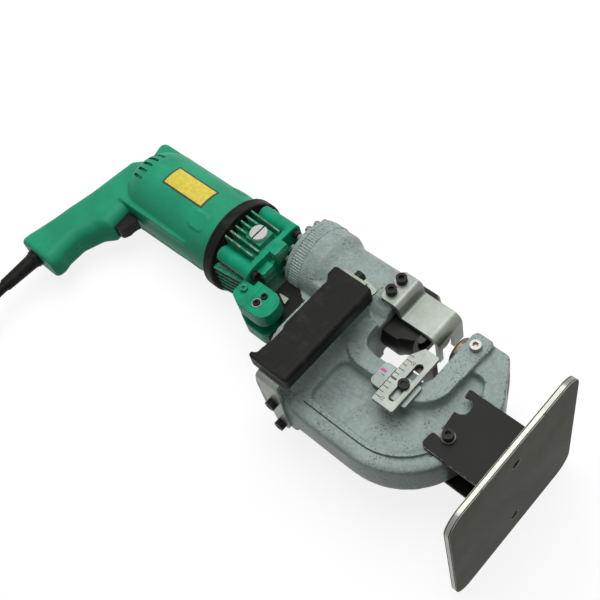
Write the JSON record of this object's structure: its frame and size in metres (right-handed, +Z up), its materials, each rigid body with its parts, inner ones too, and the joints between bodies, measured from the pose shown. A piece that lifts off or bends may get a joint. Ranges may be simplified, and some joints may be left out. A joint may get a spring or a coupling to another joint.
{
  "type": "hydraulic hole punch",
  "caption": "Corded electric hydraulic hole punch: C frame with punch and die, finned motor pump, pistol handle, carry grip, depth gauge and bench stand plate.",
  "frame": {"origin": "centre of the stand plate's outer face", "axes": "+X from the motor towards the stand plate along the floor, +Y from the spine towards the open throat, +Z up; the machine lies on its side, leaning on the stand plate and the motor"},
  "size_m": [0.6474, 0.4473, 0.1659],
  "materials": {
    "cast_frame": "hammered grey paint over a casting",
    "dark_steel": "oiled dark steel",
    "bright_steel": "bright turned steel",
    "zinc_steel": "zinc plated sheet",
    "tool_steel": "worn brown tool steel",
    "bronze": "machined bronze",
    "black_screw": "black oxide",
    "pump_green": "green paint over a die casting",
    "housing_green": "green moulded plastic, satin",
    "white_plastic": "moulded white",
    "black_paint": "black paint, worn at the edges",
    "alloy": "satin aluminium",
    "lamination": "varnished steel sheets",
    "winding": "varnished copper windings on a steel core",
    "black_plastic": "moulded black",
    "bare_plate": "bare worn steel plate",
    "black_rubber": "matt black rubber"
  },
  "bodies": {
    "machine": {"c_frame": "cast_frame", "cylinder_head": "cast_frame", "head_bolts": "bright_steel", "die_screw": "bright_steel", "relief_valve": "bright_steel", "pump_plungers": "bright_steel", "front_bearing": "bright_steel", "rear_bearing": "bright_steel", "housing_screws": "bright_steel", "plug_pins": "bright_steel", "return_spring": "bright_steel", "trigger_spring": "bright_steel", "stand_washers": "bright_steel", "stripper": "zinc_steel", "carry_bracket": "zinc_steel", "gauge_base": "zinc_steel", "die": "tool_steel", "rod_bush": "bronze", "brush_holders": "bronze", "stripper_screws": "black_screw", "pump_screws": "black_screw", "carry_screws": "black_screw", "gauge_screw": "black_screw", "stand_bolts": "black_screw", "valve_screws": "black_screw", "pump_case": "pump_green", "valve_block": "pump_green", "bleed_plug": "pump_green", "housing_upper": "housing_green", "housing_lower": "housing_green", "filler_plug": "white_plastic", "motor_ring": "black_paint", "stand_side_upper": "black_paint", "stand_side_lower": "black_paint", "gear_plate": "alloy", "stator": "lamination", "switch_body": "black_plastic", "carbon_brushes": "black_plastic", "stand_plate": "bare_plate", "carry_grip": "black_rubber", "cord_guard": "black_rubber", "cord_lead": "black_rubber", "cord_coil": "black_rubber", "cord_tail": "black_rubber", "cord_tie": "black_rubber", "plug_body": "black_rubber"},
    "ram": {"piston": "bright_steel", "piston_seal": "black_rubber", "punch_nut": "dark_steel", "punch": "dark_steel"},
    "trigger": {"trigger": "black_plastic"},
    "gauge": {"gauge_bar": "alloy", "gauge_stop": "dark_steel"},
    "rotor": {"armature": "winding", "fan": "black_plastic", "pinion": "bright_steel"},
    "pump_wheel": {"drive_gear": "bright_steel", "eccentric_shaft": "bright_steel"}
  },
  "joints": [
    {"name": "ram_slide", "type": "slide", "parent": "machine", "child": "ram", "axis": [0.9962, 0, 0.0874], "range_m": [0, 0.018], "stiffness_N_per_m": 6000, "springref_m": -0.01, "deforming": ["return_spring"]},
    {"name": "trigger_pull", "type": "slide", "parent": "machine", "child": "trigger", "axis": [-0.9962, 0, -0.0874], "range_m": [0, 0.006], "stiffness_N_per_m": 800, "springref_m": -0.003, "deforming": ["trigger_spring"]},
    {"name": "gauge_slide", "type": "slide", "parent": "machine", "child": "gauge", "axis": [0, 1, 0], "range_m": [-0.015, 0.005]},
    {"name": "motor_spin", "type": "hinge", "parent": "machine", "child": "rotor", "pos_m": [-0.42596, 0.0405, -0.03739], "axis": [0.9962, 0, 0.0874], "continuous": true},
    {"name": "gear_spin", "type": "hinge", "parent": "machine", "child": "pump_wheel", "pos_m": [-0.32634, 0.054, -0.02865], "axis": [0.9962, 0, 0.0874], "continuous": true}
  ],
  "couplings": [
    {"joint": "gear_spin", "follows": "motor_spin", "ratio": -0.28571}
  ]
}
